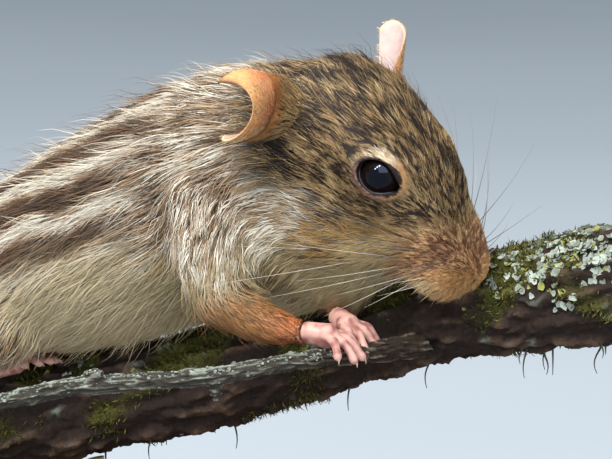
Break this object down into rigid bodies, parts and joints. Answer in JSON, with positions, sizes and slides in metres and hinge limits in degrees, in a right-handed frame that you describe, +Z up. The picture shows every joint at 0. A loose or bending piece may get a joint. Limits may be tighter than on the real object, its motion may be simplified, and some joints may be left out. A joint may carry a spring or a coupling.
{
  "type": "barbary striped grass mouse model on a display stand",
  "caption": "Life-size striped grass mouse crouching on a cut branch with a side twig, held by two short rods on a flat base.",
  "frame": {"origin": "centre of the underside of the stand's base", "axes": "+X from the rump to the nose, +Y to the animal's left side, +Z up"},
  "size_m": [0.2269, 0.0782, 0.0817],
  "materials": {
    "fur": "matte",
    "skin": "satin",
    "eye": "gloss",
    "bark": "rough",
    "stand_wood": "satin",
    "stand_metal": "satin"
  },
  "bodies": {
    "root": {"head": "fur", "neck": "fur", "torso": "fur", "ear_right": "skin", "ear_left": "skin", "eye_right": "eye", "eye_left": "eye", "foreleg_right_upper": "fur", "foreleg_right_lower": "fur", "foreleg_left_upper": "fur", "foreleg_left_lower": "fur", "forefoot_right": "skin", "forefoot_left": "skin", "hindleg_right_thigh": "fur", "hindleg_right_shank": "fur", "hindleg_left_thigh": "fur", "hindleg_left_shank": "fur", "hindfoot_right": "skin", "hindfoot_left": "skin", "tail_base": "fur", "tail_middle": "fur", "tail_tip": "fur", "perch_branch": "bark", "perch_twig": "bark", "stand_base": "stand_wood", "stand_rod_front": "stand_metal", "stand_rod_rear": "stand_metal"}
  },
  "joints": []
}
